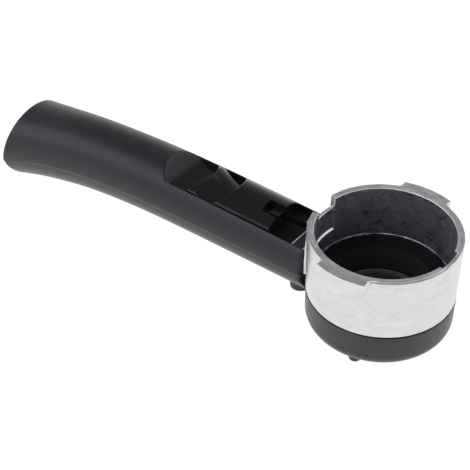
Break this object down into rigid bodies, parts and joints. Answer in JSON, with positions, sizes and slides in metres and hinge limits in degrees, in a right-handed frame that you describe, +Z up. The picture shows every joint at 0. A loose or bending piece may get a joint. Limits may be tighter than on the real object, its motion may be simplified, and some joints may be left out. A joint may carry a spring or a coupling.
{
  "type": "portafilter",
  "caption": "Bayonet portafilter with a cast collar, black base bowl with outlets, curved handle and a thumb slide that drives a locking pin.",
  "frame": {"origin": "where the collar's axis meets the rest plane, on the flat underside of the outlet bar", "axes": "+Z up along the collar's axis; the handle runs along -X; the outlets lie along Y"},
  "size_m": [0.2287, 0.0684, 0.0564],
  "materials": {
    "cast_aluminium": "satin machined casting",
    "handle_plastic": "satin black moulding",
    "slide_plastic": "semi-gloss black moulding",
    "bowl_plastic": "satin dark grey moulding",
    "gasket_rubber": "matte black rubber",
    "screw_steel": "plain stainless steel",
    "black_steel": "blackened steel"
  },
  "bodies": {
    "holder": {"collar_ring": "cast_aluminium", "base_bowl": "bowl_plastic", "bowl_gasket": "gasket_rubber", "bowl_screw_1": "screw_steel", "bowl_screw_2": "screw_steel", "bowl_screw_3": "screw_steel", "drain_dish": "bowl_plastic", "outlet_bar": "bowl_plastic", "outlet_screw_1": "screw_steel", "outlet_screw_2": "screw_steel", "handle_upper_shell": "handle_plastic", "handle_lower_shell": "handle_plastic", "handle_screw_front": "screw_steel", "handle_screw_middle": "screw_steel", "handle_screw_rear": "screw_steel"},
    "slide": {"thumb_slide": "slide_plastic", "lock_pin": "black_steel", "slide_keeper": "screw_steel", "slide_screw_1": "screw_steel", "slide_screw_2": "screw_steel"}
  },
  "joints": [
    {"name": "thumb_slide_travel", "type": "slide", "parent": "holder", "child": "slide", "axis": [1, 0, 0], "range_m": [0, 0.006]}
  ]
}
